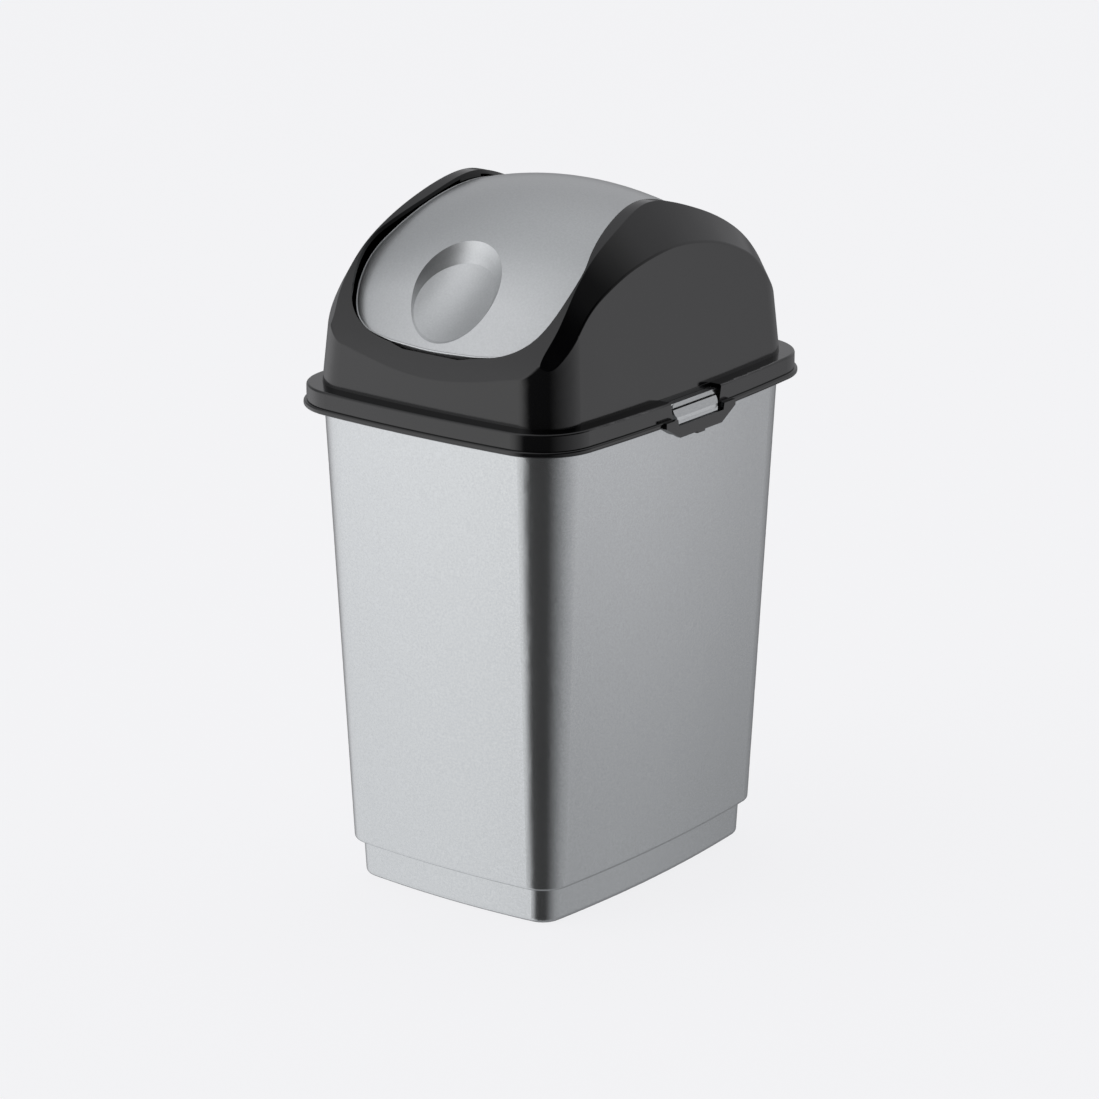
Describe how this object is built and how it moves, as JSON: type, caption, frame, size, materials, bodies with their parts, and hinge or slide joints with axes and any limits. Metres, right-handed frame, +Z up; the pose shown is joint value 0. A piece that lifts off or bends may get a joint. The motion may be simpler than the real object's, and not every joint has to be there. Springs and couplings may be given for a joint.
{
  "type": "swing-lid kitchen bin",
  "caption": "Slim free-standing kitchen bin: a tapered silver bucket, a black arched hood that clips over its rim and lifts off, and a silver flap with a hand dish that swings in the hood.",
  "frame": {"origin": "centre of the face that the bin stands on, midway across its width and its depth", "axes": "+Z up, X across the narrow way with a clip on each side, Y along the long way; the front, with the dish in the flap, faces -Y"},
  "size_m": [0.2, 0.2478, 0.3895],
  "materials": {
    "silver_plastic": "moulded polypropylene with a fine metallic pigment, satin",
    "black_plastic": "moulded polypropylene from a polished tool, glossy black",
    "flap_plastic": "moulded polypropylene with a fine metallic pigment, satin"
  },
  "bodies": {
    "bucket": {"bucket": "silver_plastic"},
    "hood": {"hood": "black_plastic"},
    "flap": {"swing_flap": "flap_plastic"}
  },
  "joints": [
    {"name": "hood_lift", "type": "slide", "parent": "bucket", "child": "hood", "axis": [0, 0, 1], "range_m": [0, 0.12]},
    {"name": "flap_swing", "type": "hinge", "parent": "hood", "child": "flap", "pos_m": [0, 0, 0.372], "axis": [1, 0, 0], "range_deg": [-75, 75]}
  ]
}
